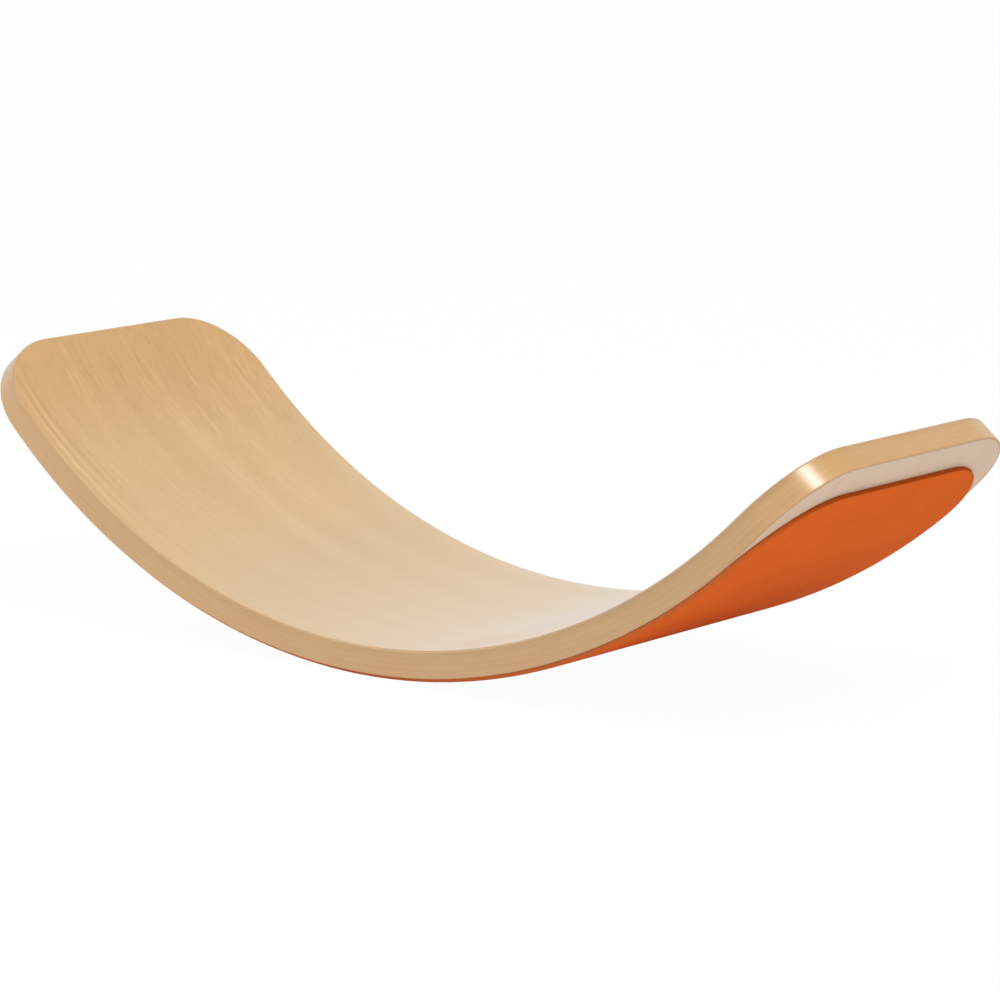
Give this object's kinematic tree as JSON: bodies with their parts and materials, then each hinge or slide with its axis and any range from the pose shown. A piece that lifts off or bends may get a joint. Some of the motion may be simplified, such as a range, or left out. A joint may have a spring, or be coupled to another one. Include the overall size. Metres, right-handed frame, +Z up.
{
  "type": "balance board",
  "caption": "Curved laminated wooden balance board with rounded corners and an orange felt pad bonded under it, for rocking, sitting or bridging.",
  "frame": {"origin": "middle of the felt pad's lowest facet, where the board rests on the floor", "axes": "+X along the board from end to end, +Y across it, +Z up out of the hollow"},
  "size_m": [0.8598, 0.3, 0.2223],
  "materials": {
    "ash_veneer": "satin clear lacquer over fine straight grain",
    "beech_ply": "satin clear lacquer on sanded ply edges, grain along the board",
    "beech_cross_ply": "satin clear lacquer on sanded ply edges, grain across the board",
    "adhesive_film": "matte, hidden behind the felt",
    "orange_felt": "matte pressed felt"
  },
  "bodies": {
    "root": {"top_face_veneer": "ash_veneer", "core_ply_01": "beech_ply", "core_ply_02": "beech_ply", "core_ply_03": "beech_ply", "core_ply_04": "beech_cross_ply", "core_ply_05": "beech_ply", "core_ply_06": "beech_ply", "core_ply_07": "beech_cross_ply", "core_ply_08": "beech_ply", "core_ply_09": "beech_ply", "core_ply_10": "beech_cross_ply", "core_ply_11": "beech_ply", "core_ply_12": "beech_ply", "core_ply_13": "beech_ply", "back_face_veneer": "ash_veneer", "felt_adhesive_film": "adhesive_film", "felt_pad": "orange_felt"}
  },
  "joints": []
}
